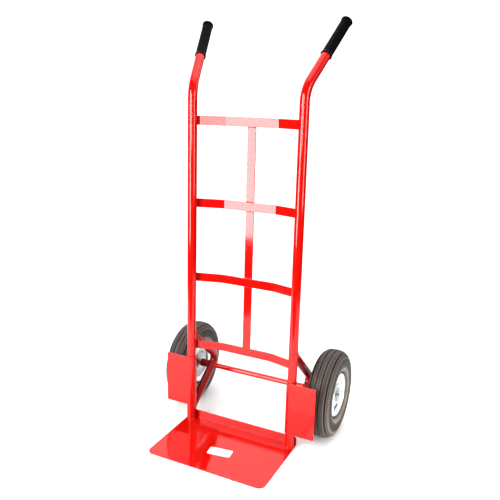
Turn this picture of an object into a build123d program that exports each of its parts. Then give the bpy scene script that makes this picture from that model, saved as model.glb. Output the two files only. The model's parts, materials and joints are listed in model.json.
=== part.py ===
from build123d import *
import os
from math import atan2, cos, degrees, hypot, radians, sin

# Hand truck with a welded steel tube frame, a folded toe plate and two pneumatic wheels.
# Millimetres. The toe plate points along -Y, the wheels are on the +Y side and +Z is up.
# Left is -X and right is +X, as seen by somebody who faces the toe plate.
# The origin is on the floor under the middle of the object's box.

# ---------------------------------------------------------------- driving dimensions
# wheels
TYRE_R = 130.0
TYRE_W = 73.0
TYRE_SECTION_H = 70.6
TYRE_SQUARENESS = 0.76
GROOVE_W = 3.6
GROOVE_D = 3.4
GROOVE_ANGLES = (50, 81, 99, 130)
WHEEL_X = 235.1
RIM_LIP_R = 65.0
RIM_HALF_W = 27.0
RIM_SHEET = 2.0
BEAD_R = 51.0
WELL_R = 44.0
DISC_A = 21.0
DISC_BOSS_A = 24.0
HUB_R = 21.0
HUB_L = 56.0
VALVE_R = 40.0
VALVE_ANGLE = 3.0
VALVE_SLOT = (30.0, 9.0)
VALVE_STEM_R = 3.4
VALVE_A = 6.0
VALVE_TIP_R = 34.0

# axle and its bearings (16 x 35 x 11)
AXLE_R = 8.0
AXLE_HALF_L = 271.0
BEARING_R = 17.5
BEARING_W = 11.0
BALL_R = 3.0
BALL_PITCH_R = 12.75
BALL_COUNT = 8
INNER_RING_R = 11.0
OUTER_RING_BORE_R = 14.5
WASHER_R = 10.5
WASHER_T = 2.0
PIN_R = 1.5

# frame
RAIL_X = 165.0
RAIL_R = 13.0
TUBE_WALL = 2.0
BEND_Z = 1007.0
BEND_R = 85.0
HANDLE_OUT = 0.26
HANDLE_BACK = 0.91
HANDLE_L = 246.0
BAR_H = 25.0
BAR_T = 3.0
BAR_Z = (245.8, 460.4, 683.3, 917.0)
BAR_BOW = 22.5
BAR_KINK_X = 80.5
BAR_KINK_R = 6.0
BRACKET_R = 12.5
BRACKET_BEND_R = 24.0
BRACKET_TOP_Z = 290.5
BRACKET_LOW_Z = 36.0
APEX_PAST_AXLE = 26.0
APEX_Z = 152.8
COLLAR_R = 12.0

# toe plate and wheel guards
AXLE_BEHIND_RAIL = 131.2
TOE_REACH = 218.9
TOE_W = 361.0
PLATE_T = 3.0
FLANGE_H = 27.5
FOLD_R = 2.0
TOE_CORNER_R = 20.0
FLANGE_CORNER_R = 6.0
GUARD_T = 2.5
GUARD_X = 242.0
GUARD_Z = (51.5, 209.0)
GUARD_LIFT = {-1: 4.2, 1: -3.4}
GUARD_CORNER_R = 4.0
GUARD_LIP = 5.0
LABEL_SIZE = (68.0, 35.0, 0.3)
LABEL_CORNER_R = 5.0
LABEL_PLACE = (4.0, 123.0)
LABEL_TURN = 8.0

# grips
GRIP_L = 128.0
GRIP_R = 14.6
GRIP_FLANGE_R = 16.0

# ---------------------------------------------------------------- derived places
RAIL_Y = (TOE_REACH - AXLE_BEHIND_RAIL - TYRE_R) / 2
AXLE_Y = RAIL_Y + AXLE_BEHIND_RAIL
AXLE_Z = TYRE_R
HUB_HALF = HUB_L / 2
PIN_X = WHEEL_X + HUB_HALF + WASHER_T + 2.6
TUBE_FOOT_R = TYRE_R - TYRE_SECTION_H + 2
TYRE_MID_R = TYRE_R - TYRE_SECTION_H / 2
SIDES = {"left": -1, "right": 1}


def write(shape, name):
    """Write one sub-part as a STEP file named after its node."""
    os.makedirs("parts", exist_ok=True)
    shape.label = name
    export_step(shape, f"parts/{name}.step")


def mirrored(shape, side):
    """Pieces are drawn for the right side and mirrored for the left one."""
    return shape if side > 0 else shape.mirror(Plane.YZ)


def rod_x(radius, x0, x1):
    """A round bar on the axle's line from x0 to x1."""
    plane = Plane(origin=(x0, AXLE_Y, AXLE_Z), x_dir=(0, 1, 0), z_dir=(1, 0, 0))
    return extrude(plane * Circle(radius), x1 - x0)


def ring_x(outer, inner, x0, x1):
    """A washer-like ring on the axle's line."""
    return rod_x(outer, x0, x1) - rod_x(inner, x0 - 1, x1 + 1)


def wheel_plane():
    """Sketch plane of a wheel section: local x runs along the axle, local y is the radius."""
    return Plane(origin=(WHEEL_X, AXLE_Y, AXLE_Z), x_dir=(1, 0, 0), z_dir=(0, -1, 0))


def turned(profile):
    """Revolve a wheel section about the axle."""
    axis = Axis((WHEEL_X, AXLE_Y, AXLE_Z), (1, 0, 0))
    return revolve(wheel_plane() * profile, axis, 360)


def swept_tube(path, outer, inner):
    """A round tube of the given radii along a path."""
    start = Plane(origin=path @ 0, z_dir=path % 0)
    tube = sweep(start * Circle(outer), path)
    return tube - sweep(start * Circle(inner), path)


# ---------------------------------------------------------------- upright frame
def handle_tip(length):
    """Height and run of a point on the handle, measured from where the rail bends."""
    scale = length / hypot(1, HANDLE_OUT, HANDLE_BACK)
    return hypot(HANDLE_OUT, HANDLE_BACK) * scale, BEND_Z + scale


def handle_plane():
    """The upright plane that holds the right rail and its bent-back handle."""
    heading = Vector(HANDLE_OUT, HANDLE_BACK, 0)
    return Plane(origin=(RAIL_X, RAIL_Y, 0), x_dir=heading, z_dir=heading.cross(Vector(0, 0, 1)))


def rail(side):
    """One side tube, from the toe plate to the end of the handle."""
    run, top = handle_tip(HANDLE_L)
    points = [(0, PLATE_T), (0, BEND_Z), (run, top)]
    path = handle_plane() * FilletPolyline(*points, radius=BEND_R)
    return mirrored(swept_tube(path, RAIL_R, RAIL_R - TUBE_WALL), side)


def grip(side):
    """Rubber sleeve with a flared skirt at the lower end and a closed, flanged tip."""
    plane = handle_plane()
    start, end = (plane.from_local_coords(Vector(*handle_tip(length), 0))
                  for length in (HANDLE_L - GRIP_L, HANDLE_L))
    across = plane.z_dir
    section_plane = Plane(origin=start, x_dir=across, z_dir=across.cross(end - start))
    skirt = [(RAIL_R, 0), (GRIP_FLANGE_R, 0), (GRIP_FLANGE_R, 2.5), (GRIP_R, 8)]
    tip = [(GRIP_R, GRIP_L - 5), (GRIP_FLANGE_R, GRIP_L - 3), (GRIP_FLANGE_R, GRIP_L + 1.5),
           (GRIP_FLANGE_R - 2, GRIP_L + 3.5), (0, GRIP_L + 4), (0, GRIP_L), (RAIL_R, GRIP_L)]
    section = section_plane * make_face(Polyline(*skirt, *tip, close=True))
    return mirrored(revolve(section, Axis(start, end - start), 360), side)


def bar_end_y():
    """The bar lies against the back of the rail; this is its centre line at the rail."""
    slope = atan2(BAR_BOW, RAIL_X - BAR_KINK_X)
    return RAIL_Y + (RAIL_R + BAR_T / 2) / cos(slope)


def crossbar(height):
    """Flat bar bowed to the back in three straight stretches."""
    end_y = bar_end_y()
    mid_y = end_y + BAR_BOW
    points = [(-RAIL_X, end_y), (-BAR_KINK_X, mid_y), (BAR_KINK_X, mid_y), (RAIL_X, end_y)]
    path = FilletPolyline(*points, radius=BAR_KINK_R)
    strip = trace(path, line_width=BAR_T)
    return extrude(Plane.XY.offset(height - BAR_H / 2) * strip, BAR_H)


def centre_strip():
    """Upright flat bar welded behind all four crossbars."""
    low = BAR_Z[0] - BAR_H / 2
    high = BAR_Z[-1] + BAR_H / 2
    y = bar_end_y() + BAR_BOW + BAR_T
    return Pos(0, y, (low + high) / 2) * Box(BAR_H, BAR_T, high - low)


# ---------------------------------------------------------------- toe plate and guards
def toe_plate():
    """Folded sheet: a flat toe with round front corners and a low flange behind the rails."""
    front = RAIL_Y - TOE_REACH
    back = RAIL_Y + RAIL_R + PLATE_T + 0.3
    half_t = PLATE_T / 2
    points = [(front, half_t), (back - half_t, half_t), (back - half_t, FLANGE_H)]
    section = Plane.YZ.offset(-TOE_W / 2) * trace(FilletPolyline(*points, radius=FOLD_R), line_width=PLATE_T)
    sheet = extrude(section, TOE_W)
    upright = sheet.edges().filter_by(Axis.Z).group_by(Axis.Y)[0]
    sheet = fillet(upright, TOE_CORNER_R)
    corners = sheet.edges().filter_by(Axis.Y).group_by(Axis.Z)[-1]
    return fillet(corners.filter_by(lambda edge: abs(edge.center().X) > TOE_W / 2 - 1), FLANGE_CORNER_R)


def blank_label():
    """Thin blank paper label stuck on the toe plate."""
    width, depth, thickness = LABEL_SIZE
    x, in_front_of_rail = LABEL_PLACE
    tag = extrude(RectangleRounded(width, depth, LABEL_CORNER_R), thickness)
    return Pos(x, RAIL_Y - in_front_of_rail, PLATE_T) * tag.rotate(Axis.Z, LABEL_TURN)


def wheel_guard(side):
    """Sheet wrapped round the front of the rail, in front of the tyre; the left one sits a little higher."""
    mid_r = RAIL_R + GUARD_T / 2
    low, high = (z + GUARD_LIFT[side] for z in GUARD_Z)
    front_y = RAIL_Y - mid_r
    flat = Line((GUARD_X, front_y), (RAIL_X, front_y))
    wrap = CenterArc((RAIL_X, RAIL_Y), mid_r, 270, -90)
    lip = Line((RAIL_X - mid_r, RAIL_Y), (RAIL_X - mid_r, RAIL_Y + GUARD_LIP))
    sheet = extrude(Plane.XY.offset(low) * trace(flat + wrap + lip, line_width=GUARD_T), high - low)
    outer = sheet.edges().filter_by(Axis.Y).group_by(Axis.X)[-1]
    return mirrored(fillet(outer, GUARD_CORNER_R), side)


# ---------------------------------------------------------------- axle brackets and axle
def bracket_solid(radius):
    """The V of one bracket as a solid bar of the given radius, drawn at the right rail."""
    plane = Plane(origin=(RAIL_X, 0, 0), x_dir=(0, 1, 0), z_dir=(1, 0, 0))
    points = [(RAIL_Y, BRACKET_TOP_Z), (AXLE_Y + APEX_PAST_AXLE, APEX_Z), (RAIL_Y, BRACKET_LOW_Z)]
    path = plane * FilletPolyline(*points, radius=BRACKET_BEND_R)
    return sweep(Plane(origin=path @ 0, z_dir=path % 0) * Circle(radius), path)


def axle_bracket(side):
    """Tube bent to a V behind the rail, coped to it, with the axle through its lower arm."""
    tube = bracket_solid(BRACKET_R) - bracket_solid(BRACKET_R - TUBE_WALL)
    rail_core = Pos(RAIL_X, RAIL_Y, BRACKET_TOP_Z / 2) * Cylinder(RAIL_R, 2 * BRACKET_TOP_Z)
    bore = rod_x(AXLE_R, RAIL_X - 2 * BRACKET_R, RAIL_X + 2 * BRACKET_R)
    return mirrored(tube - rail_core - bore, side)


def axle_collar(side):
    """Welded sleeve that spaces the wheel from the bracket."""
    return mirrored(ring_x(COLLAR_R, AXLE_R, RAIL_X + BRACKET_R, WHEEL_X - HUB_HALF - WASHER_T), side)


def axle():
    """Solid axle through both brackets, cross-drilled at each end for a split pin."""
    bar = rod_x(AXLE_R, -AXLE_HALF_L, AXLE_HALF_L)
    bar = chamfer(bar.edges().filter_by(GeomType.CIRCLE), 1.2)
    for side in SIDES.values():
        bar -= Pos(side * PIN_X, AXLE_Y, AXLE_Z) * Cylinder(PIN_R + 0.2, 4 * AXLE_R)
    return bar


def axle_washers():
    """Four washers: one on each face of each hub, against the inner rings."""
    inner = ring_x(WASHER_R, AXLE_R, WHEEL_X - HUB_HALF - WASHER_T, WHEEL_X - HUB_HALF)
    outer = ring_x(WASHER_R, AXLE_R, WHEEL_X + HUB_HALF, WHEEL_X + HUB_HALF + WASHER_T)
    return Compound([mirrored(washer, side) for side in SIDES.values() for washer in (inner, outer)])


def split_pins():
    """Two split pins through the axle's ends: eye on top, legs spread below."""
    eye_r = 3.2
    stand_out = 2
    leg_l = 10
    leg_r = 1.1
    pin = Pos(PIN_X, AXLE_Y, AXLE_Z) * Cylinder(PIN_R, 2 * (AXLE_R + stand_out))
    eye = Torus(eye_r, leg_r)
    pin += Pos(PIN_X, AXLE_Y, AXLE_Z + AXLE_R + stand_out + eye_r) * Rot(0, 90, 0) * eye
    for spread in (-40, 40):
        foot = Pos(PIN_X, AXLE_Y, AXLE_Z - AXLE_R - 1) * Rot(spread, 0, 0)
        pin += foot * Pos(0, 0, 0.5 - leg_l / 2) * Cylinder(leg_r, leg_l)
    return Compound([mirrored(pin, side) for side in SIDES.values()])


# ---------------------------------------------------------------- wheels
# Each wheel section is drawn as (a, r): a runs out along the axle from the middle of the
# right wheel, and r is the distance from the axle.
def oval(half_w, mid_r, half_h, angle):
    """A point of the squarish oval that a tyre's section follows."""
    across = cos(radians(angle))
    up = sin(radians(angle))
    a = half_w * abs(across) ** TYRE_SQUARENESS * (1 if across >= 0 else -1)
    r = half_h * abs(up) ** TYRE_SQUARENESS * (1 if up >= 0 else -1)
    return a, mid_r + r


def groove(angle):
    """Cutting section of one tread groove where the tyre's outline has the given angle."""
    a, r = oval(TYRE_W / 2, TYRE_MID_R, TYRE_SECTION_H / 2, angle)
    a2, r2 = oval(TYRE_W / 2, TYRE_MID_R, TYRE_SECTION_H / 2, angle + 1)
    tilt = degrees(atan2(r2 - r, a2 - a))
    return Pos(a, r) * Rot(0, 0, tilt) * Rectangle(GROOVE_W, 2 * GROOVE_D)


def tyre(side):
    """Ribbed tyre: four grooves round the tread, open towards the rim between its beads."""
    half_h = TYRE_SECTION_H / 2
    outside = [oval(TYRE_W / 2, TYRE_MID_R, half_h, 90 + 13.3 * step) for step in range(-10, 11)]
    cavity = [oval(TYRE_W / 2 - 4.7, TYRE_MID_R - 3, half_h - 5, 90 + 13 * step) for step in range(-10, 11)]
    seat_a = RIM_HALF_W - RIM_SHEET
    outline = Spline(*outside)
    lining = Spline(*cavity)
    foot = [(seat_a, RIM_LIP_R - 0.7), (seat_a, BEAD_R + 3), (seat_a - 3, BEAD_R), (seat_a - 6.5, BEAD_R)]
    right = Polyline(outline @ 0, *foot, lining @ 0)
    left = Polyline(outline @ 1, *[(-a, r) for a, r in foot], lining @ 1)
    section = make_face(outline + lining + right + left)
    for angle in GROOVE_ANGLES:
        section -= groove(angle)
    return mirrored(turned(section), side)


def inner_tube(side):
    """Inflated rubber tube inside the tyre."""
    skin = [oval(TYRE_W / 2 - 5.2, TYRE_MID_R - 3, TYRE_SECTION_H / 2 - 5.5, angle)
            for angle in range(0, 360, 20)]
    air = [oval(TYRE_W / 2 - 7.2, TYRE_MID_R - 3, TYRE_SECTION_H / 2 - 7.5, angle)
           for angle in range(0, 360, 20)]
    section = make_face(Spline(*skin, periodic=True)) - make_face(Spline(*air, periodic=True))
    return mirrored(turned(section), side)


def rim_band(side):
    """Rolled rim: a well between two bead seats, with a turned-out lip on each side."""
    half_t = RIM_SHEET / 2
    seat = BEAD_R - half_t
    flange = RIM_HALF_W - half_t
    right = [(14, WELL_R), (18, seat), (flange, seat), (flange, RIM_LIP_R - 2.5),
             (RIM_HALF_W + 1, RIM_LIP_R - 0.8)]
    left = [(-a, r) for a, r in reversed(right)]
    path = FilletPolyline(*left, *right, radius=(1.5, 1.5, 2, 2, 2, 2, 1.5, 1.5))
    band = turned(trace(path, line_width=RIM_SHEET))
    hole = extrude(valve_foot(WELL_R - 5) * Circle(VALVE_STEM_R), 10)
    return mirrored(band - hole, side)


def wheel_disc():
    """Pressed disc on the right wheel's outer side: boss at the hub, turned edge at the rim."""
    edge_r = BEAD_R - 1.5 * RIM_SHEET
    points = [(DISC_BOSS_A, HUB_R), (DISC_BOSS_A, HUB_R + 9), (DISC_A, HUB_R + 14),
              (DISC_A, edge_r), (RIM_HALF_W - 2.5, edge_r)]
    path = FilletPolyline(*points, radius=(3, 3, 2.2))
    return turned(trace(path, line_width=RIM_SHEET)) - rod_x(HUB_R, WHEEL_X, WHEEL_X + RIM_HALF_W + 5)


def outer_disc(side):
    """The disc that faces out, with the oval opening that gives access to the valve."""
    slot = extrude(valve_place() * SlotOverall(*VALVE_SLOT), RIM_HALF_W)
    return mirrored(wheel_disc() - slot, side)


def inner_disc(side):
    """The disc that faces the frame."""
    middle = Plane(origin=(WHEEL_X, 0, 0), z_dir=(1, 0, 0))
    return mirrored(wheel_disc().mirror(middle), side)


def hub(side):
    """Hub tube with a bearing pocket in each end."""
    pocket = HUB_HALF - BEARING_W
    tube = ring_x(HUB_R, BEARING_R - 2, WHEEL_X - pocket, WHEEL_X + pocket)
    for way in (-1, 1):
        ends = sorted((WHEEL_X + way * pocket, WHEEL_X + way * HUB_HALF))
        tube += ring_x(HUB_R, BEARING_R, *ends)
    return mirrored(tube, side)


def bearing_middles():
    """The middles of the two bearings of the right wheel."""
    return [WHEEL_X + way * (HUB_HALF - BEARING_W / 2) for way in (-1, 1)]


def bearing_rings(side, outer, inner, race_gap):
    """A pair of bearing rings with the ball track cut into them."""
    rings = []
    for middle in bearing_middles():
        track = Pos(middle, AXLE_Y, AXLE_Z) * Rot(0, 90, 0) * Torus(BALL_PITCH_R, BALL_R + race_gap)
        rings.append(ring_x(outer, inner, middle - BEARING_W / 2, middle + BEARING_W / 2) - track)
    return mirrored(Compound(rings), side)


def bearing_balls(side):
    """The balls of both bearings."""
    balls = []
    for middle in bearing_middles():
        for number in range(BALL_COUNT):
            spin = Pos(middle, AXLE_Y, AXLE_Z) * Rot(number * 360 / BALL_COUNT, 0, 0)
            balls.append(spin * Pos(0, 0, BALL_PITCH_R) * Sphere(BALL_R))
    return mirrored(Compound(balls), side)


def bearing_shields(side):
    """Thin shields held in the outer rings on both faces of both bearings."""
    shields = []
    for middle in bearing_middles():
        for way in (-1, 1):
            face = middle + way * (BEARING_W / 2 - 1.1)
            shields.append(ring_x(OUTER_RING_BORE_R, INNER_RING_R + 0.4, face - 0.3, face + 0.3))
    return mirrored(Compound(shields), side)


def valve_down():
    """Direction from the axle towards the valve."""
    turn = radians(VALVE_ANGLE)
    return Vector(0, sin(turn), -cos(turn))


def valve_place():
    """Plane square to the axle at the valve opening, with its local x along the rim."""
    centre = Vector(WHEEL_X, AXLE_Y, AXLE_Z) + valve_down() * VALVE_R
    return Plane(origin=centre, x_dir=valve_down().cross(Vector(1, 0, 0)), z_dir=(1, 0, 0))


def valve_foot(radius):
    """Plane square to the valve stem at a distance from the axle, facing the tyre."""
    centre = Vector(WHEEL_X + VALVE_A, AXLE_Y, AXLE_Z) + valve_down() * radius
    return Plane(origin=centre, x_dir=(1, 0, 0), z_dir=valve_down())


def valve_stem(side):
    """Rubber-covered stem that points from the inner tube through the well to the hub."""
    stem = extrude(valve_foot(VALVE_TIP_R) * Circle(VALVE_STEM_R), TUBE_FOOT_R - VALVE_TIP_R)
    foot = extrude(valve_foot(WELL_R + 4) * Circle(VALVE_STEM_R + 2.6), TUBE_FOOT_R - WELL_R - 4)
    return mirrored(stem + chamfer(foot.edges().group_by(Axis.Z)[-1], 1.5), side)


def valve_cap(side):
    """Ribbed cap on the end of the valve stem."""
    cap = extrude(valve_foot(VALVE_TIP_R - 6) * Circle(VALVE_STEM_R + 0.8), 6)
    cap = fillet(cap.edges().group_by(Axis.Z)[-1], 0.8)
    return mirrored(cap, side)


# ---------------------------------------------------------------- write every node
def main():
    names = ("bottom_crossbar", "lower_crossbar", "upper_crossbar", "top_crossbar")
    for name, height in zip(names, BAR_Z):
        write(crossbar(height), name)
    write(centre_strip(), "centre_strip")
    write(toe_plate(), "toe_plate")
    write(blank_label(), "blank_label")
    write(axle(), "axle")
    write(axle_washers(), "axle_washers")
    write(split_pins(), "split_pins")
    sided = {
        "rail": rail,
        "grip": grip,
        "wheel_guard": wheel_guard,
        "axle_bracket": axle_bracket,
        "axle_collar": axle_collar,
        "tyre": tyre,
        "inner_tube": inner_tube,
        "rim_band": rim_band,
        "outer_disc": outer_disc,
        "inner_disc": inner_disc,
        "hub": hub,
        "bearing_balls": bearing_balls,
        "bearing_shields": bearing_shields,
        "valve_stem": valve_stem,
        "valve_cap": valve_cap,
    }
    for label, side in SIDES.items():
        for name, build in sided.items():
            write(build(side), f"{label}_{name}")
        write(bearing_rings(side, BEARING_R, OUTER_RING_BORE_R, 0.05), f"{label}_bearing_outer_rings")
        write(bearing_rings(side, INNER_RING_R, AXLE_R, 0.3), f"{label}_bearing_inner_rings")


main()
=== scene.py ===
import json
from math import atan2, ceil, cos, hypot, pi, radians, sin, sqrt, tan

import bmesh
import bpy
from mathutils import Matrix, Vector


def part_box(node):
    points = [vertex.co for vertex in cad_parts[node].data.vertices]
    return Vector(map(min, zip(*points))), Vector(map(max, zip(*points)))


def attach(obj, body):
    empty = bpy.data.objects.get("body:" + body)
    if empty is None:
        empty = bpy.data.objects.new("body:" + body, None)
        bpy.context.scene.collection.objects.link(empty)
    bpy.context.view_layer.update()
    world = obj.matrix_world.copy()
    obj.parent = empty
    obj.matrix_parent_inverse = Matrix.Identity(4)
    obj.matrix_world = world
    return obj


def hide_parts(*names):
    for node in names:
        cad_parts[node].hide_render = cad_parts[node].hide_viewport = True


# Looks of the hand truck. Metres, in the frame of the CAD model: -Y is the toe plate's side,
# +X is right as seen from there, +Z is up.
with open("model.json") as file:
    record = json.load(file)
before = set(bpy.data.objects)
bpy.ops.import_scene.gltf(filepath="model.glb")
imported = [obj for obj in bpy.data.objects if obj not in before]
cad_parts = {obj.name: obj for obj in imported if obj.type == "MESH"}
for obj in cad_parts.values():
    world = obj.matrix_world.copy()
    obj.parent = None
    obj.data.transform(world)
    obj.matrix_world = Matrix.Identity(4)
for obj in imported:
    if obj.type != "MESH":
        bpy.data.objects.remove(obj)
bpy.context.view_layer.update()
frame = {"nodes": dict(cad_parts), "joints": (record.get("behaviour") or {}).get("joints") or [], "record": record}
SIDES = {"left": -1, "right": 1}
MM = 0.001

# ---------------------------------------------------------------- places read from the frame
JOINTS = {joint["name"]: Vector(joint["pos_m"]) for joint in frame["joints"]}
HUB = {label: JOINTS[f"{label}_wheel_spin"] for label in SIDES}
WHEEL_X = HUB["right"].x
AXLE_Y = HUB["right"].y
AXLE_Z = HUB["right"].z


def middle(node):
    """Centre of a node's box."""
    low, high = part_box(node)
    return (low + high) / 2


def extent(node):
    """Lengths of the sides of a node's box."""
    low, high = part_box(node)
    return high - low


TYRE_R = extent("right_tyre").z / 2
TYRE_W = extent("right_tyre").x
RIM_LIP_R = extent("right_rim_band").z / 2
AXLE_R = extent("axle").z / 2
COLLAR_R = extent("right_axle_collar").z / 2
BRACKET_R = extent("right_axle_bracket").x / 2
RAIL_X = middle("right_axle_bracket").x
PLATE_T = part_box("right_rail")[0].z
FLANGE_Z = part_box("toe_plate")[1].z

# ---------------------------------------------------------------- driving sizes of the looks
SHARP_ANGLE = 38
RAIL_R = 13 * MM
GUARD_T = 2.5 * MM
RAIL_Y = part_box("right_wheel_guard")[0].y + RAIL_R + GUARD_T
# a handle's run out and back for each unit that it rises
HANDLE_OUT = 0.26
HANDLE_BACK = 0.91
HANDLE_L = 246 * MM
# where the lines of rail and handle meet, and the bend between them
BEND_Z = 1007 * MM
BEND_R = 85 * MM
GRIP_R = 14.6 * MM
GRIP_RIM_R = 16 * MM
GRIP_FLUTES = 40
STEPS_PER_FLUTE = 6
FLUTE_D = 0.45 * MM
BRACKET_TOP_Z = 290.5 * MM
BRACKET_LOW_Z = 36 * MM
# from the axle's line to the corner where a bracket's arms meet
AXLE_TO_APEX = Vector((0, 26 * MM, 22.8 * MM))

# radii of the weld beads and the length of one ripple
WELD_R = 1.7 * MM
THIN_WELD_R = 1.5 * MM
FOOT_WELD_R = 2 * MM
WELD_RIPPLE = 2.2 * MM
# a crossbar's two beads on each rail, as (across from the rail's line, behind it)
BAR_WELD_SPOTS = ((-5.7 * MM, 13.5 * MM), (0.5 * MM, 14.3 * MM))
WELD_END_GAP = 1.5 * MM
STRIP_SEAM = 0.4 * MM
FLANGE_WELD_X = 6.8 * MM
GUARD_WELD_SHARES = (0.08, 0.44, 0.8)

# tyre and wheel: the places of the grooves, shoulder and disc face are distances from a wheel's
# middle plane; the section is stepped round in degrees and ends at BEAD_ANGLE from its widest line
TYRE_SECTION_H = 70.6 * MM
TYRE_SQUARENESS = 0.76
SECTION_STEP = 0.75
BEAD_ANGLE = -42.5
GROOVES = (8.0 * MM, 25.6 * MM)
GROOVE_W = 4.8 * MM
GROOVE_D = 3.4 * MM
SHOULDER_A = 31.0 * MM
SHOULDER_TEETH = 150
STEPS_PER_TOOTH = 6
TOOTH_D = 2.6 * MM
TOOTH_REACH = 27 * MM
SIPE_D = 1.6 * MM
SHOULDER_SIPE_D = 0.7 * MM
DISC_FACE_A = 23.5 * MM
SEAT_R = 50.5 * MM

# strengths of the room light; the camera's place, its angles in degrees, and its lens and
# sensor in millimetres
ROOM_DIM = 0.05
ROOM_BRIGHT = 1.45
CAMERA_PLACE = (0.72857, -1.50397, 0.98700)
CAMERA_AZIMUTH = 25.865
CAMERA_ELEVATION = 13.401
CAMERA_ROLL = 1.444
LENS = 43.85
SENSOR_W = 36
LENS_SHIFT_X = 0.0079
LENS_SHIFT_Y = -0.0183

# colours across the tyre (linear RGB)
# ribs lighter than the sidewalls: partly dust, partly painted sheen
RIB_DUST_AND_SHEEN = (0.070, 0.058, 0.054)
# painted highlight along the rib edges
RIB_EDGE_HIGHLIGHT = (0.34, 0.27, 0.22)
# painted shade: near-black for the floors of the grooves and the gaps between the teeth
GROOVE_SHADE = (0.002, 0.002, 0.002)
SIDEWALL = (0.009, 0.008, 0.009)
DUST = (0.12, 0.097, 0.088)
MOULDED_RING = (0.17, 0.15, 0.14)


# ---------------------------------------------------------------- node materials
class Shader:
    """A material and short ways to add nodes to it."""

    def __init__(self, name):
        self.material = bpy.data.materials.new(name)
        self.material.use_nodes = True
        self.tree = self.material.node_tree
        self.surface = self.tree.nodes["Principled BSDF"]
        self.place = self.add("ShaderNodeTexCoord").outputs["Object"]

    def add(self, kind, **settings):
        """A new node with some of its properties set."""
        node = self.tree.nodes.new(kind)
        for key, value in settings.items():
            setattr(node, key, value)
        return node

    def link(self, source, target):
        """Join an output to an input."""
        self.tree.links.new(source, target)

    def set(self, **values):
        """Set inputs of the surface shader to constants."""
        for key, value in values.items():
            self.surface.inputs[key.replace("_", " ")].default_value = value

    def noise(self, scale, detail=3.0, roughness=0.5, stretch=(1, 1, 1)):
        """Fractal noise in object space; scale is in cycles per metre."""
        mapping = self.add("ShaderNodeMapping")
        mapping.inputs["Scale"].default_value = stretch
        self.link(self.place, mapping.inputs["Vector"])
        texture = self.add("ShaderNodeTexNoise")
        texture.inputs["Scale"].default_value = scale
        texture.inputs["Detail"].default_value = detail
        texture.inputs["Roughness"].default_value = roughness
        self.link(mapping.outputs["Vector"], texture.inputs["Vector"])
        return texture.outputs["Fac"]

    def cells(self, scale, feature="F1"):
        """Voronoi cells in object space."""
        texture = self.add("ShaderNodeTexVoronoi", feature=feature)
        texture.inputs["Scale"].default_value = scale
        self.link(self.place, texture.inputs["Vector"])
        return texture

    def ramp(self, source, *stops):
        """Colour ramp; each stop is (position, colour)."""
        node = self.add("ShaderNodeValToRGB")
        band = node.color_ramp
        while len(band.elements) < len(stops):
            band.elements.new(0.5)
        for element, (position, colour) in zip(band.elements, stops):
            element.position = position
            element.color = (*colour, 1.0)
        self.link(source, node.inputs["Fac"])
        return node.outputs["Color"]

    def span(self, source, low, high, start=0.0, end=1.0):
        """Map a value from start..end to low..high."""
        node = self.add("ShaderNodeMapRange")
        for key, value in (("From Min", start), ("From Max", end), ("To Min", low), ("To Max", high)):
            node.inputs[key].default_value = value
        self.link(source, node.inputs["Value"])
        return node.outputs["Result"]

    def mix(self, factor, first, second):
        """Blend two colours by a factor."""
        node = self.add("ShaderNodeMix", data_type="RGBA")
        for index, value in ((0, factor), (6, first), (7, second)):
            if isinstance(value, bpy.types.NodeSocket):
                self.link(value, node.inputs[index])
            elif index == 0:
                node.inputs[index].default_value = value
            else:
                node.inputs[index].default_value = (*value, 1.0)
        return node.outputs[2]

    def maths(self, operation, first, second=0.0):
        """A maths node; each value is a socket or a number."""
        node = self.add("ShaderNodeMath", operation=operation)
        for index, value in enumerate((first, second)):
            if isinstance(value, bpy.types.NodeSocket):
                self.link(value, node.inputs[index])
            else:
                node.inputs[index].default_value = value
        return node.outputs["Value"]

    def bumps(self, *layers):
        """Stack of bump nodes; each layer is (height socket, strength, distance)."""
        previous = None
        for height, strength, distance in layers:
            node = self.add("ShaderNodeBump")
            node.inputs["Strength"].default_value = strength
            node.inputs["Distance"].default_value = distance
            self.link(height, node.inputs["Height"])
            if previous is not None:
                self.link(previous, node.inputs["Normal"])
            previous = node.outputs["Normal"]
        self.link(previous, self.surface.inputs["Normal"])


def paint_material(name, dark, light):
    """Glossy red powder coat: faint orange peel, small shifts of shade, a little dust."""
    shader = Shader(name)
    shade = shader.ramp(shader.noise(9, 4), (0.3, dark), (0.7, light))
    dust = shader.span(shader.noise(160, 6, 0.65), 0.0, 0.06, 0.55, 0.8)
    colour = shader.mix(dust, shade, (0.80, 0.30, 0.26))
    shader.link(colour, shader.surface.inputs["Base Color"])
    smear = shader.span(shader.noise(24, 5, 0.6), 0.05, 0.11, 0.3, 0.75)
    shader.link(smear, shader.surface.inputs["Roughness"])
    shader.set(IOR=1.5)
    peel = shader.noise(420, 2, 0.5)
    speck = shader.cells(900).outputs["Distance"]
    shader.bumps((peel, 0.03, 0.0003), (speck, 0.006, 0.0002))
    return shader.material


def off_middle(shader):
    """Distance from the middle plane of the nearer wheel."""
    split = shader.add("ShaderNodeSeparateXYZ")
    shader.link(shader.place, split.inputs["Vector"])
    from_centre = shader.maths("ABSOLUTE", split.outputs["X"])
    return shader.maths("ABSOLUTE", shader.maths("SUBTRACT", from_centre, WHEEL_X))


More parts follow.
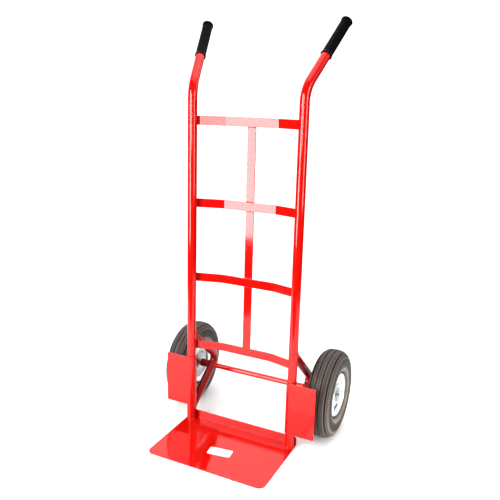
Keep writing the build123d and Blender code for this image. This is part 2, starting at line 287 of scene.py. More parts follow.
def rib_shades(shader):
    """Colour across the tyre's section: grooves painted near-black as painted shade, a painted highlight on the
    rib edges, and ribs lighter than the dark sidewalls, partly from dust and partly as painted sheen.
    """
    # width of the painted highlight band beside each groove
    highlight_band = 2.2 * MM
    reach = TYRE_W / 2 + 3.5 * MM
    stops = [(0.0, RIB_DUST_AND_SHEEN)]
    for groove in GROOVES:
        low, high = groove - GROOVE_W / 2, groove + GROOVE_W / 2
        stops += [(low - highlight_band, RIB_DUST_AND_SHEEN), (low - 0.3 * MM, RIB_EDGE_HIGHLIGHT),
                  (low + 0.2 * MM, GROOVE_SHADE), (high - 0.2 * MM, GROOVE_SHADE),
                  (high + 0.3 * MM, RIB_EDGE_HIGHLIGHT), (high + highlight_band, RIB_DUST_AND_SHEEN)]
    stops += [(SHOULDER_A + 3.5 * MM, RIB_EDGE_HIGHLIGHT), (SHOULDER_A + 5.2 * MM, SIDEWALL)]
    share = shader.span(off_middle(shader), 0.0, 1.0, 0.0, reach)
    return shader.ramp(share, *[(a / reach, colour) for a, colour in stops])


def ring_mask(shader, inner, outer):
    """Mask of a ring round the axle between two radii, soft at its edges."""
    flat = shader.add("ShaderNodeVectorMath", operation="MULTIPLY_ADD")
    flat.inputs[1].default_value = (0, 1, 1)
    flat.inputs[2].default_value = (0, -AXLE_Y, -AXLE_Z)
    shader.link(shader.place, flat.inputs[0])
    length = shader.add("ShaderNodeVectorMath", operation="LENGTH")
    shader.link(flat.outputs["Vector"], length.inputs[0])
    inside = shader.span(length.outputs["Value"], 0.0, 1.0, inner - 2 * MM, inner + MM)
    outside = shader.span(length.outputs["Value"], 1.0, 0.0, outer - MM, outer + 3 * MM)
    return shader.maths("MULTIPLY", inside, outside)


def tooth_gap_shade(shader):
    """Mask of painted shade in the gaps between the teeth: faint on the ribs, strong on the shoulders."""
    split = shader.add("ShaderNodeSeparateXYZ")
    shader.link(shader.place, split.inputs["Vector"])
    forward = shader.maths("SUBTRACT", split.outputs["Y"], AXLE_Y)
    upward = shader.maths("SUBTRACT", split.outputs["Z"], AXLE_Z)
    turn = shader.maths("ARCTAN2", forward, upward)
    wave = shader.maths("SINE", shader.maths("MULTIPLY", turn, SHOULDER_TEETH))
    gaps = shader.span(wave, 0.0, 1.0, -0.25, 0.45)
    depth = shader.span(off_middle(shader), 0.7, 0.97, SHOULDER_A - 3 * MM, SHOULDER_A)
    treads = ring_mask(shader, TYRE_R - 28 * MM, TYRE_R + 5 * MM)
    return shader.maths("MULTIPLY", shader.maths("MULTIPLY", gaps, depth), treads)


def tyre_material():
    """Tyre rubber: dusty ribs with a painted sheen and painted highlights on their edges, painted shade in the
    grooves and between the teeth, and a mottled moulded ring by the rim.
    """
    shader = Shader("tyre_rubber")
    patches = shader.noise(38, 5, 0.6)
    grain = shader.noise(1400, 3, 0.6)
    crumbs = shader.noise(330, 4, 0.7)
    shade = rib_shades(shader)
    dusty = shader.span(crumbs, 0.0, 0.55, 0.45, 0.75)
    colour = shader.mix(dusty, shade, DUST)
    # painted shade in the gaps between the teeth
    colour = shader.mix(tooth_gap_shade(shader), colour, GROOVE_SHADE)
    moulded = shader.maths("MULTIPLY", ring_mask(shader, RIM_LIP_R + 5 * MM, RIM_LIP_R + 18 * MM),
                           shader.span(shader.noise(170, 3, 0.6), 0.0, 1.0, 0.48, 0.60))
    colour = shader.mix(moulded, colour, MOULDED_RING)
    shader.link(colour, shader.surface.inputs["Base Color"])
    shader.link(shader.span(patches, 0.42, 0.62, 0.25, 0.8), shader.surface.inputs["Roughness"])
    shader.set(Specular_IOR_Level=0.35)
    shader.bumps((grain, 0.35, 0.0003), (crumbs, 0.35, 0.0006), (moulded, 0.5, 0.0006))
    return shader.material


def rubber_material(name, dark, light, low, high, specular):
    """Moulded rubber: fine grain, matt patches and pale dust in the grain."""
    shader = Shader(name)
    patches = shader.noise(38, 5, 0.6)
    grain = shader.noise(1400, 3, 0.6)
    base = shader.ramp(patches, (0.3, dark), (0.75, light))
    dusty = shader.span(grain, 0.0, 0.35, 0.5, 0.85)
    dust_colour = tuple(min(1.0, channel * 1.9 + 0.002) for channel in light)
    shader.link(shader.mix(dusty, base, dust_colour), shader.surface.inputs["Base Color"])
    shader.link(shader.span(patches, low, high, 0.25, 0.8), shader.surface.inputs["Roughness"])
    shader.set(Specular_IOR_Level=specular)
    shader.bumps((grain, 0.2, 0.0002), (shader.noise(220, 4), 0.1, 0.0004))
    return shader.material


def zinc_material(name, dark, light, stain):
    """Zinc plate on pressed steel: faint spangle, drawing marks and small stains."""
    shader = Shader(name)
    tone = shader.span(shader.cells(240).outputs["Distance"], 0.0, 1.0, 0.0, 0.6)
    stains = shader.noise(60, 5, 0.6)
    dulled = shader.span(stains, 0.0, 0.3, 0.5, 0.8)
    colour = shader.mix(dulled, shader.ramp(tone, (0.0, dark), (1.0, light)), stain)
    shader.link(colour, shader.surface.inputs["Base Color"])
    shader.link(shader.span(stains, 0.26, 0.38, 0.3, 0.8), shader.surface.inputs["Roughness"])
    shader.set(Metallic=1.0)
    shader.bumps((shader.noise(900, 2), 0.05, 0.0002), (stains, 0.03, 0.0008))
    return shader.material


def steel_material():
    """Ground bearing steel with fine turning marks."""
    shader = Shader("ground_steel")
    marks = shader.noise(2600, 2, 0.5, stretch=(1, 0.15, 0.15))
    shader.link(shader.ramp(marks, (0.3, (0.50, 0.50, 0.51)), (0.7, (0.64, 0.64, 0.65))),
                shader.surface.inputs["Base Color"])
    shader.link(shader.span(marks, 0.2, 0.38), shader.surface.inputs["Roughness"])
    shader.set(Metallic=1.0)
    shader.bumps((marks, 0.1, 0.0002))
    return shader.material


def label_material():
    """Coated paper with a slight warm tone and fibres, slightly worn."""
    shader = Shader("blank_label_paper")
    fibres = shader.noise(700, 5, 0.7, stretch=(1, 3, 1))
    shader.link(shader.ramp(fibres, (0.25, (0.80, 0.79, 0.77)), (0.7, (0.92, 0.92, 0.90))),
                shader.surface.inputs["Base Color"])
    shader.link(shader.span(fibres, 0.35, 0.55), shader.surface.inputs["Roughness"])
    shader.bumps((fibres, 0.1, 0.0002))
    return shader.material


def floor_material():
    """Plain pale studio floor."""
    shader = Shader("studio_floor")
    shader.link(shader.ramp(shader.noise(2.0, 2), (0.3, (0.90, 0.90, 0.90)), (0.7, (0.93, 0.93, 0.93))),
                shader.surface.inputs["Base Color"])
    shader.set(Roughness=0.9)
    return shader.material


def wall_material():
    """Even white backdrop."""
    material = bpy.data.materials.new("studio_wall")
    material.use_nodes = True
    tree = material.node_tree
    tree.nodes.remove(tree.nodes["Principled BSDF"])
    glow = tree.nodes.new("ShaderNodeEmission")
    glow.inputs["Strength"].default_value = 1.2
    tree.links.new(glow.outputs["Emission"], tree.nodes["Material Output"].inputs["Surface"])
    return material


PAINT = paint_material("red_powder_coat", (0.46, 0.004, 0.002), (0.53, 0.006, 0.003))
# a darker copy of the red coat for the axle brackets and collars: painted shade, as they sit in shade behind the
# rails and guards
SHADED_PAINT = paint_material("red_powder_coat_painted_shade", (0.24, 0.001, 0.001), (0.29, 0.002, 0.001))
TYRE_RUBBER = tyre_material()
GRIP_RUBBER = rubber_material("grip_rubber", (0.0015, 0.001, 0.001), (0.004, 0.003, 0.003), 0.3, 0.45, 0.05)
TUBE_RUBBER = rubber_material("tube_rubber", (0.010, 0.010, 0.010), (0.018, 0.018, 0.018), 0.45, 0.65, 0.4)
ZINC = zinc_material("bright_zinc_plate", (0.74, 0.77, 0.79), (0.84, 0.87, 0.88), (0.62, 0.63, 0.62))
# a darker copy of the zinc for the hubs and inner discs: painted shade on the wheels' shaded inner sides
SHADED_ZINC = zinc_material("zinc_plate_painted_shade", (0.34, 0.36, 0.35), (0.46, 0.48, 0.47), (0.25, 0.26, 0.25))
# near-black zinc for the faces inside each wheel's drum: painted shade, which also darkens the valve slot
INSIDE_SHADE_ZINC = zinc_material("zinc_painted_inside_shade", (0.05, 0.05, 0.05), (0.09, 0.09, 0.09), (0.03, 0.03, 0.03))
STEEL = steel_material()
LABEL = label_material()
FLOOR = floor_material()
WALL = wall_material()


# ---------------------------------------------------------------- mesh helpers
def new_piece(name, mesh, material, body):
    """Put a mesh in the scene as a piece of the object."""
    piece = bpy.data.objects.new(name, mesh)
    bpy.context.scene.collection.objects.link(piece)
    mesh.materials.clear()
    mesh.materials.append(material)
    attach(piece, body)
    return piece


def smooth(piece, angle=SHARP_ANGLE):
    """Smooth shading apart from edges sharper than the angle."""
    for polygon in piece.data.polygons:
        polygon.use_smooth = True
    piece.data.set_sharp_from_angle(angle=radians(angle))


def body_of(node):
    """The CAD body that holds a node."""
    for body, nodes in frame["record"]["behaviour"]["bodies"].items():
        if node in nodes:
            return body
    raise ValueError(node)


def look_of(node, material):
    """A copy of a CAD node with smooth shading, in place of the node."""
    mesh = frame["nodes"][node].data.copy()
    piece = new_piece(f"{node}_look", mesh, material, body_of(node))
    smooth(piece)
    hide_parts(node)
    return piece


def softened(node, material, bevel, segments=3):
    """A look of a CAD node with its flat faces joined and its sharp edges rounded off."""
    piece = look_of(node, material)
    work = bmesh.new()
    work.from_mesh(piece.data)
    bmesh.ops.remove_doubles(work, verts=work.verts, dist=2e-6)
    bmesh.ops.dissolve_limit(work, angle_limit=radians(0.6), verts=work.verts, edges=work.edges)
    work.to_mesh(piece.data)
    work.free()
    smooth(piece)
    rounding = piece.modifiers.new("rounded_edges", "BEVEL")
    rounding.width = bevel
    rounding.segments = segments
    rounding.limit_method = "ANGLE"
    rounding.angle_limit = radians(SHARP_ANGLE)
    rounding.harden_normals = True


def closed_mesh(name, vertices, faces):
    """A mesh with points that coincide joined and its faces turned outward."""
    mesh = bpy.data.meshes.new(name)
    mesh.from_pydata(vertices, [], faces)
    mesh.validate()
    work = bmesh.new()
    work.from_mesh(mesh)
    bmesh.ops.remove_doubles(work, verts=work.verts, dist=1e-6)
    bmesh.ops.recalc_face_normals(work, faces=work.faces)
    work.to_mesh(mesh)
    work.free()
    return mesh


def lathe(name, outline, centre, steps, material, body, closed=True, lift=None):
    """Turn an outline of (a, r) points about the axle's direction.

    A closed outline is joined from its last point back to its first. lift(index, step) gives
    how far a point of the outline is moved out along r at a step."""
    vertices = []
    for step in range(steps):
        turn = 2 * pi * step / steps
        for index, (a, r) in enumerate(outline):
            radius = r + (lift(index, step) if lift else 0.0)
            vertices.append((centre.x + a, centre.y + radius * sin(turn), centre.z + radius * cos(turn)))
    count = len(outline)
    faces = []
    for step in range(steps):
        first = step * count
        second = (step + 1) % steps * count
        for index in range(count if closed else count - 1):
            after = (index + 1) % count
            faces.append((first + index, first + after, second + after, second + index))
    return new_piece(name, closed_mesh(name, vertices, faces), material, body)


def sweep(spine, radii, sides):
    """Points and faces of a round bar of so many sides along a spine, closed at both ends."""
    vertices, faces = [], []
    previous = None
    for index, (point, radius) in enumerate(zip(spine, radii)):
        ahead = spine[min(index + 1, len(spine) - 1)] - spine[max(index - 1, 0)]
        heading = ahead.normalized()
        if previous is None:
            guide = Vector((0, 0, 1)) if abs(heading.z) < 0.9 else Vector((1, 0, 0))
            previous = heading.cross(guide)
        previous = (previous - heading * previous.dot(heading)).normalized()
        up = heading.cross(previous)
        for turn in range(sides):
            angle = 2 * pi * turn / sides
            vertices.append(point + previous * (radius * cos(angle)) + up * (radius * sin(angle)))
    for index in range(len(spine) - 1):
        near, far = index * sides, (index + 1) * sides
        for turn in range(sides):
            after = (turn + 1) % sides
            faces.append((near + turn, near + after, far + after, far + turn))
    faces.append(tuple(range(sides - 1, -1, -1)))
    faces.append(tuple((len(spine) - 1) * sides + turn for turn in range(sides)))
    return vertices, faces


def rail(label):
    """One side tube with a smooth bend into its handle, ending inside the grip's closed tip."""
    bend_steps, tube_sides, tip_gap = 24, 72, 2 * MM
    lean = hypot(HANDLE_OUT, HANDLE_BACK)
    outward = Vector((SIDES[label] * HANDLE_OUT, HANDLE_BACK, 0)) / lean
    foot = Vector((SIDES[label] * RAIL_X, RAIL_Y, 0))
    total = atan2(lean, 1)
    bend_from = BEND_Z - BEND_R * tan(total / 2)
    spine = [foot + Vector((0, 0, z)) for z in (PLATE_T, bend_from)]
    for step in range(1, bend_steps + 1):
        angle = total * step / bend_steps
        up = Vector((0, 0, bend_from + BEND_R * sin(angle)))
        spine.append(foot + outward * (BEND_R * (1 - cos(angle))) + up)
    heading = outward * sin(total) + Vector((0, 0, cos(total)))
    spine.append(foot + Vector((0, 0, BEND_Z)) + heading * (HANDLE_L - tip_gap))
    vertices, faces = sweep(spine, [RAIL_R] * len(spine), tube_sides)
    name = f"{label}_rail_look"
    piece = new_piece(name, closed_mesh(name, vertices, faces), PAINT, "frame")
    smooth(piece)
    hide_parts(f"{label}_rail")


# ---------------------------------------------------------------- weld beads
def weld_bead(name, points, radius=WELD_R):
    """A painted weld: a rippled bead through the points, thinned at both ends unless it's a loop."""
    spacing, bead_sides = 0.5 * MM, 10
    loop = (points[0] - points[-1]).length < radius
    spine = [points[0]]
    for start, end in zip(points, points[1:]):
        pieces = max(1, ceil((end - start).length / spacing))
        spine += [start.lerp(end, step / pieces) for step in range(1, pieces + 1)]
    travelled = 0.0
    length = sum((b - a).length for a, b in zip(spine, spine[1:]))
    radii = []
    for index, point in enumerate(spine):
        if index:
            travelled += (point - spine[index - 1]).length
        ripple = 1 + 0.11 * abs(sin(pi * travelled / WELD_RIPPLE)) + 0.05 * sin(travelled * 610 + len(spine))
        taper = 1.0
        if not loop:
            edge = min(travelled, length - travelled) / (1.6 * radius)
            taper = sqrt(max(0.02, 1 - (1 - min(1.0, edge)) ** 2))
        radii.append(radius * ripple * taper)
    vertices, faces = sweep(spine, radii, bead_sides)
    smooth(new_piece(name, closed_mesh(name, vertices, faces), PAINT, "frame"), angle=60)


def circle_points(centre, radius, first, second):
    """Points round a circle that lies in the plane of two unit vectors."""
    steps = 48
    points = []
    for step in range(steps + 1):
        angle = 2 * pi * step / steps
        points.append(centre + first * (radius * cos(angle)) + second * (radius * sin(angle)))
    return points


# ---------------------------------------------------------------- wheels
def oval(half_w, mid_r, half_h, angle):
    """A point of the squarish oval that the tyre's section follows."""
    across, up = cos(angle), sin(angle)
    a = half_w * abs(across) ** TYRE_SQUARENESS * (1 if across >= 0 else -1)
    r = half_h * abs(up) ** TYRE_SQUARENESS * (1 if up >= 0 else -1)
    return a, mid_r + r


def tread_r(a):
    """Radius of the tyre's outside at a distance from its middle plane."""
    across = (a / (TYRE_W / 2)) ** (1 / TYRE_SQUARENESS)
    return TYRE_R - TYRE_SECTION_H / 2 * (1 - sqrt(1 - across * across) ** TYRE_SQUARENESS)


def tyre_outline():
    """Half section of the tyre from the tread's middle to the bead, as (a, r, kind)."""
    # a groove's broken edge, the run of its flank, and the strip of rib beside it
    edge, flank, kept = 0.3 * MM, 0.5 * MM, 1.2 * MM
    points = [(a, tread_r(a), "middle rib") for a in (0.0, 2.6 * MM)]
    for number, groove in enumerate(GROOVES):
        low, high = groove - GROOVE_W / 2, groove + GROOVE_W / 2
        inner, outer = ("middle rib", "side rib") if number == 0 else ("side rib", "shoulder rib")
        points += [(a, tread_r(a), inner) for a in (low - kept, low - edge)]
        points.append((low, tread_r(low) - edge, inner))
        points.append((low + flank, tread_r(low) - GROOVE_D, "groove"))
        points.append((high - flank, tread_r(high) - GROOVE_D, "groove"))
        points.append((high, tread_r(high) - edge, outer))
        points += [(a, tread_r(a), outer) for a in (high + edge, high + kept)]
        if number == 0:
            points += [(a * MM, tread_r(a * MM), outer) for a in (13, 16, 19)]
    half_w, half_h = TYRE_W / 2 - 0.1 * MM, TYRE_SECTION_H / 2 - 0.1 * MM
    wall_from = GROOVES[-1] + GROOVE_W / 2 + 1.5 * MM
    for step in range(1, int((90 - BEAD_ANGLE) / SECTION_STEP) + 1):
        angle = radians(90 - step * SECTION_STEP)
        a, r = oval(half_w, TYRE_R - TYRE_SECTION_H / 2, half_h, angle)
        if a <= wall_from:
            continue
        drop = TYRE_R - r
        kind = "shoulder rib" if a < SHOULDER_A and drop < TYRE_SECTION_H / 2 else "wall"
        if a >= SHOULDER_A and drop < TOOTH_REACH:
            kind = "tooth"
        points.append((a, r, kind))
    return points


def tyre(label):
    """Ribbed tyre: sunk grooves, sipes along the ribs and toothed shoulders."""
    half = tyre_outline()
    profile = [(-a, r, kind) for a, r, kind in reversed(half[1:])] + half
    last_a, last_r, _ = profile[-1]
    inside = [(last_a - 4 * MM, last_r - MM), (last_a - 9 * MM, last_r + 6 * MM), (9 * MM, TYRE_R - 14 * MM)]
    profile += [(a, r, "bead") for a, r in inside] + [(-a, r, "bead") for a, r in reversed(inside)]

    def lift(index, step):
        """Cut of the sipes and of the gaps between teeth, on the first half of each tooth's steps."""
        a, _, kind = profile[index]
        if step % STEPS_PER_TOOTH >= STEPS_PER_TOOTH // 2:
            return 0.0
        if kind == "tooth":
            return -TOOTH_D
        if kind == "middle rib" and abs(a) > 4 * MM:
            return -SIPE_D
        if kind == "side rib" and min(abs(abs(a) - groove) for groove in GROOVES) < GROOVE_W / 2 + 1.3 * MM:
            return -SIPE_D
        if kind == "shoulder rib":
            return -SHOULDER_SIPE_D
        return 0.0

    piece = lathe(f"{label}_tyre_look", [(a, r) for a, r, _ in profile], HUB[label],
                  SHOULDER_TEETH * STEPS_PER_TOOTH, TYRE_RUBBER, f"{label}_wheel", lift=lift)
    smooth(piece, angle=32)
    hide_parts(f"{label}_tyre")


# ---------------------------------------------------------------- grips and axle
def grip(label):
    """Fluted rubber sleeve with a flared skirt and a flanged, closed tip."""
    mesh = frame["nodes"][f"{label}_grip"].data
    places = [vertex.co.copy() for vertex in mesh.vertices]
    heading = Vector((SIDES[label] * HANDLE_OUT, HANDLE_BACK, 1)).normalized()
    reaches = [place.dot(heading) for place in places]
    start, end = min(reaches), max(reaches)
    skirt_rim = [place for place, reach in zip(places, reaches) if reach < start + 0.1 * MM]
    centre = sum(skirt_rim, Vector()) / len(skirt_rim)
    side = heading.cross(Vector((0, 0, 1))).normalized()
    up = side.cross(heading)
    length = end - start
    # (reach along the sleeve, radius, 1 where the flutes cut it and 0 elsewhere)
    skirt = [(0, RAIL_R + 0.1 * MM, 0), (0, GRIP_RIM_R - 0.5 * MM, 0), (0.5 * MM, GRIP_RIM_R, 0),
             (2.5 * MM, GRIP_RIM_R, 0), (3.4 * MM, GRIP_RIM_R - 0.5 * MM, 0), (7.5 * MM, GRIP_R, 0)]
    sleeve = [(9.5 * MM, GRIP_R, 1), (length - 10.5 * MM, GRIP_R, 1)]
    tip = [(length - 9 * MM, GRIP_R, 0), (length - 7.2 * MM, GRIP_RIM_R, 0),
           (length - 3 * MM, GRIP_RIM_R - 0.1 * MM, 0), (length - 1.7 * MM, GRIP_RIM_R - 1.2 * MM, 0),
           (length - 0.8 * MM, GRIP_RIM_R - 2.4 * MM, 0), (length - 0.2 * MM, 6 * MM, 0), (length, 0, 0)]
    outline = skirt + sleeve + tip
    steps = GRIP_FLUTES * STEPS_PER_FLUTE
    vertices, faces = [], []
    for step in range(steps):
        turn = 2 * pi * step / steps
        spoke = side * cos(turn) + up * sin(turn)
        flute = FLUTE_D * (1 + cos(turn * GRIP_FLUTES)) / 2
        for reach, radius, fluted in outline:
            vertices.append(centre + heading * reach + spoke * (radius - flute * fluted))
    count = len(outline)
    for step in range(steps):
        first, second = step * count, (step + 1) % steps * count
        for index in range(count - 1):
            faces.append((first + index, first + index + 1, second + index + 1, second + index))
    name = f"{label}_grip_look"
    piece = new_piece(name, closed_mesh(name, vertices, faces), GRIP_RUBBER, "frame")
    smooth(piece, angle=40)
    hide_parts(f"{label}_grip")


def axle_pieces():
    """The axle, painted with the frame between the wheels and bare beyond the collars."""
    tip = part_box("axle")[1].x
    chamfer = 1.2 * MM
    bare_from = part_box("right_axle_collar")[1].x - 0.5 * MM
    centre = Vector((0, AXLE_Y, AXLE_Z))
    middle_part = [(-bare_from, 0), (-bare_from, AXLE_R), (bare_from, AXLE_R), (bare_from, 0)]
    pieces = [lathe("axle_painted_look", middle_part, centre, 64, PAINT, "frame", closed=False)]
    for label, side in SIDES.items():
        outline = [(side * bare_from, 0), (side * bare_from, AXLE_R), (side * (tip - chamfer), AXLE_R),
                   (side * tip, AXLE_R - chamfer), (side * tip, 0)]
        pieces.append(lathe(f"{label}_axle_end_look", outline, centre, 64, ZINC, "frame", closed=False))
    for piece in pieces:
        smooth(piece)
        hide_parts("axle")


# ---------------------------------------------------------------- welds
def bar_welds(bar):
    """Beads where one crossbar meets both rails and the upright strip."""
    low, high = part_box(bar)
    bottom, top = low.z, high.z
    upright = (bottom + WELD_END_GAP, top - WELD_END_GAP)
    for label, side in SIDES.items():
        for number, (across, behind) in enumerate(BAR_WELD_SPOTS):
            spot = Vector((side * (RAIL_X + across), RAIL_Y + behind, 0))
            weld_bead(f"{bar}_{label}_weld_{number}", [spot + Vector((0, 0, z)) for z in upright])
    strip_low, strip_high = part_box("centre_strip")
    half = (strip_high.x - strip_low.x) / 2
    for number, (z, seam) in enumerate(((bottom, -STRIP_SEAM), (top, STRIP_SEAM))):
        if strip_low.z + MM < z < strip_high.z - MM:
            y = strip_low.y - STRIP_SEAM
            ends = [Vector((x, y, z + seam)) for x in (WELD_END_GAP - half, half - WELD_END_GAP)]
            weld_bead(f"{bar}_strip_weld_{number}", ends)
    for label, side in SIDES.items():
        x = side * (half + STRIP_SEAM)
        ends = [Vector((x, strip_low.y + STRIP_SEAM, z)) for z in upright]
        weld_bead(f"{bar}_strip_{label}_weld", ends)


def bracket_weld(label, height, name):
    """Bead round the joint of one bracket arm with the rail behind it."""
    side = SIDES[label]
    apex = Vector((0, AXLE_Y, AXLE_Z)) + AXLE_TO_APEX
    heading = Vector((0, apex.y - RAIL_Y, apex.z - height)).normalized()
    normal = Vector((0, -heading.z, heading.y))
    steps = 72
    points = []
    for step in range(steps + 1):
        turn = 2 * pi * step / steps
        x = BRACKET_R * cos(turn)
        y = sqrt(RAIL_R ** 2 - x * x)
        rise = BRACKET_R * sin(turn)
        along = (y - rise * normal.y) / heading.y
        points.append(Vector((side * RAIL_X + x, RAIL_Y + y, height + rise * normal.z + along * heading.z)))
    weld_bead(f"{label}_bracket_{name}_weld", points)


def side_welds(label):
    """Beads at the foot of one rail and on its bracket, collar and wheel guard."""
    side = SIDES[label]
    x_axis, y_axis, z_axis = Vector((1, 0, 0)), Vector((0, 1, 0)), Vector((0, 0, 1))
    foot = Vector((side * RAIL_X, RAIL_Y, PLATE_T + 0.2 * MM))
    foot_ring = circle_points(foot, RAIL_R + 0.3 * MM, x_axis, y_axis)
    weld_bead(f"{label}_rail_foot_weld", foot_ring, FOOT_WELD_R)
    for number, off in enumerate((-FLANGE_WELD_X, FLANGE_WELD_X)):
        spot = Vector((side * RAIL_X + off, RAIL_Y + RAIL_R - 0.6 * MM, 0))
        weld_bead(f"{label}_flange_weld_{number}", [spot + z_axis * z for z in (PLATE_T, FLANGE_Z - 2 * MM)])
    for height, name in ((BRACKET_TOP_Z, "top"), (BRACKET_LOW_Z, "low")):
        bracket_weld(label, height, name)
    for name, x, radius in (("collar", RAIL_X + BRACKET_R, COLLAR_R), ("axle", RAIL_X - BRACKET_R, AXLE_R)):
        ring = Vector((side * x, AXLE_Y, AXLE_Z))
        weld_bead(f"{label}_{name}_weld", circle_points(ring, radius, y_axis, z_axis), THIN_WELD_R)
    low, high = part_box(f"{label}_wheel_guard")
    guard_bead_mm = 18
    for number, share in enumerate(GUARD_WELD_SHARES):
        bottom = low.z + share * (high.z - low.z)
        spot = Vector((side * (RAIL_X - RAIL_R - 0.6 * MM), RAIL_Y + 5.4 * MM, bottom))
        weld_bead(f"{label}_guard_weld_{number}", [spot, spot + z_axis * guard_bead_mm * MM], THIN_WELD_R)


# ---------------------------------------------------------------- dressed CAD pieces
def paint_inside_shade(piece, label):
    """Paint shade on the faces in the closed space between a wheel's two discs: they get a near-black zinc."""
    outward_share = 0.3
    piece.data.materials.append(INSIDE_SHADE_ZINC)
    for polygon in piece.data.polygons:
        place = polygon.center - HUB[label]
        off = abs(place.x)
        radius = hypot(place.y, place.z)
        if off < DISC_FACE_A and radius < SEAT_R and polygon.normal.x * place.x <= outward_share * off:
            polygon.material_index = 1


for side_label in SIDES:
    tyre(side_label)
BARS = ("bottom_crossbar", "lower_crossbar", "upper_crossbar", "top_crossbar")
for bar_name in BARS:
    softened(bar_name, PAINT, 0.7 * MM)
    bar_welds(bar_name)
softened("centre_strip", PAINT, 0.7 * MM)
softened("toe_plate", PAINT, 0.8 * MM)
softened("blank_label", LABEL, 0.1 * MM, 1)
for side_label in SIDES:
    softened(f"{side_label}_wheel_guard", PAINT, 0.6 * MM)
    for part_name in ("axle_bracket", "axle_collar"):
        # brackets and collars take the darker coat as painted shade
        softened(f"{side_label}_{part_name}", SHADED_PAINT, 0.6 * MM)
    rail(side_label)
    grip(side_label)
    side_welds(side_label)
    # hubs and inner discs take the darker zinc as painted shade
    softened(f"{side_label}_hub", SHADED_ZINC, 0.4 * MM)
    for part_name, finish in (("rim_band", ZINC), ("outer_disc", ZINC), ("inner_disc", SHADED_ZINC)):
        # faces inside each wheel's drum take the near-black zinc as painted shade
        paint_inside_shade(look_of(f"{side_label}_{part_name}", finish), side_label)
axle_pieces()
PLAIN = {"axle_washers": ZINC, "split_pins": ZINC}
for side_label in SIDES:
    for part_name in ("bearing_inner_rings", "bearing_outer_rings", "bearing_balls", "bearing_shields"):
        PLAIN[f"{side_label}_{part_name}"] = STEEL
    PLAIN[f"{side_label}_inner_tube"] = TUBE_RUBBER
    PLAIN[f"{side_label}_valve_stem"] = TUBE_RUBBER
    PLAIN[f"{side_label}_valve_cap"] = TUBE_RUBBER
for node_name, finish in PLAIN.items():
    cad_piece = frame["nodes"][node_name]
    cad_piece.data.materials.clear()
    cad_piece.data.materials.append(finish)


# ---------------------------------------------------------------- studio
def stage_piece(name, vertices, faces, material):
    """A mesh that belongs to the studio and not to the object."""
    mesh = bpy.data.meshes.new(name)
    mesh.from_pydata(vertices, [], faces)
    mesh.materials.append(material)
    piece = bpy.data.objects.new(name, mesh)
    bpy.context.scene.collection.objects.link(piece)
    return piece


def studio_room():
    """Pale floor under the truck, inside a large white room that only the camera sees."""
    near, far, half = -0.85, 1.25, 1.4
    stage_piece("studio_floor", [(-half, near, 0), (half, near, 0), (half, far, 0), (-half, far, 0)],
                [(0, 1, 2, 3)], FLOOR)
    reach, height, under = 24, 20, -0.02
    corners = [(-reach, -reach), (reach, -reach), (reach, reach), (-reach, reach)]
    vertices = [(x, y, z) for z in (under, height) for x, y in corners]
    sides = [(n, (n + 1) % 4, (n + 1) % 4 + 4, n + 4) for n in range(4)]
    room = stage_piece("studio_room", vertices, sides + [(0, 1, 2, 3), (4, 5, 6, 7)], WALL)
    room.visible_diffuse = False
    room.visible_glossy = False
    room.visible_shadow = False
    room.visible_transmission = False


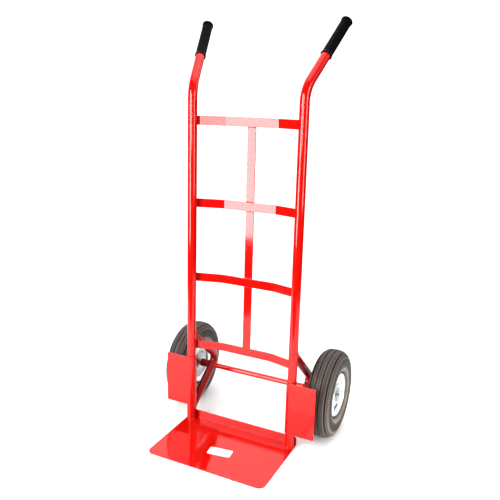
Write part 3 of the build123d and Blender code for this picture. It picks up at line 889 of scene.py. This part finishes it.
def studio_world():
    """Room light: dim in front and low down, bright high up on the far side."""
    world = bpy.data.worlds.new("studio_world")
    bpy.context.scene.world = world
    world.use_nodes = True
    tree = world.node_tree
    place = tree.nodes.new("ShaderNodeTexCoord")
    split = tree.nodes.new("ShaderNodeSeparateXYZ")
    tree.links.new(place.outputs["Generated"], split.inputs["Vector"])
    shares = []
    for axis, start, end in (("Y", -0.3, 0.5), ("Z", 0.04, 0.3)):
        share = tree.nodes.new("ShaderNodeMapRange")
        share.interpolation_type = "SMOOTHSTEP"
        share.inputs["From Min"].default_value = start
        share.inputs["From Max"].default_value = end
        tree.links.new(split.outputs[axis], share.inputs["Value"])
        shares.append(share.outputs["Result"])
    both = tree.nodes.new("ShaderNodeMath")
    both.operation = "MULTIPLY"
    tree.links.new(shares[0], both.inputs[0])
    tree.links.new(shares[1], both.inputs[1])
    strength = tree.nodes.new("ShaderNodeMapRange")
    strength.inputs["To Min"].default_value = ROOM_DIM
    strength.inputs["To Max"].default_value = ROOM_BRIGHT
    tree.links.new(both.outputs["Value"], strength.inputs["Value"])
    background = tree.nodes["Background"]
    background.inputs["Color"].default_value = (1, 1, 1, 1)
    tree.links.new(strength.outputs["Result"], background.inputs["Strength"])


def softbox(name, place, target, size, radiance):
    """A rectangular soft light of an even radiance that faces a target."""
    light = bpy.data.lights.new(name, "AREA")
    light.shape = "RECTANGLE"
    light.size, light.size_y = size
    light.energy = radiance * pi * size[0] * size[1]
    lamp = bpy.data.objects.new(name, light)
    bpy.context.scene.collection.objects.link(lamp)
    lamp.location = place
    lamp.rotation_mode = "QUATERNION"
    lamp.rotation_quaternion = (Vector(target) - Vector(place)).to_track_quat("-Z", "Y")


def main_camera():
    """Camera just under a metre up, turned 26 degrees to the right of the toe plate's front."""
    azimuth, elevation, roll = radians(CAMERA_AZIMUTH), radians(CAMERA_ELEVATION), radians(CAMERA_ROLL)
    back = Vector((sin(azimuth) * cos(elevation), -cos(azimuth) * cos(elevation), sin(elevation)))
    right = Vector((cos(azimuth), sin(azimuth), 0))
    up = back.cross(right)
    rolled_right = right * cos(roll) + up * sin(roll)
    rolled_up = up * cos(roll) - right * sin(roll)
    turn = Matrix((rolled_right, rolled_up, back)).transposed()
    data = bpy.data.cameras.new("main_camera")
    data.lens = LENS
    data.sensor_width = SENSOR_W
    data.shift_x = LENS_SHIFT_X
    data.shift_y = LENS_SHIFT_Y
    camera = bpy.data.objects.new("main_camera", data)
    camera.matrix_world = Matrix.Translation(CAMERA_PLACE) @ turn.to_4x4()
    bpy.context.scene.collection.objects.link(camera)
    bpy.context.scene.camera = camera


studio_room()
studio_world()
softbox("front_left_softbox", (-0.88, -1.80, 1.02), (0, 0, 1.02), (1.0, 1.8), 12.5)
softbox("front_softbox", (0.15, -2.70, 1.25), (0, 0, 1.25), (0.8, 1.2), 9.5)
softbox("right_softbox", (2.40, -0.50, 1.20), (0, 0, 1.20), (1.2, 1.8), 6.0)
softbox("overhead_softbox", (0, 0.30, 3.20), (0, 0.30, 0), (3.0, 3.0), 1.5)
main_camera()
bpy.context.scene.view_settings.view_transform = "Standard"
bpy.context.scene.view_settings.look = "Medium High Contrast"
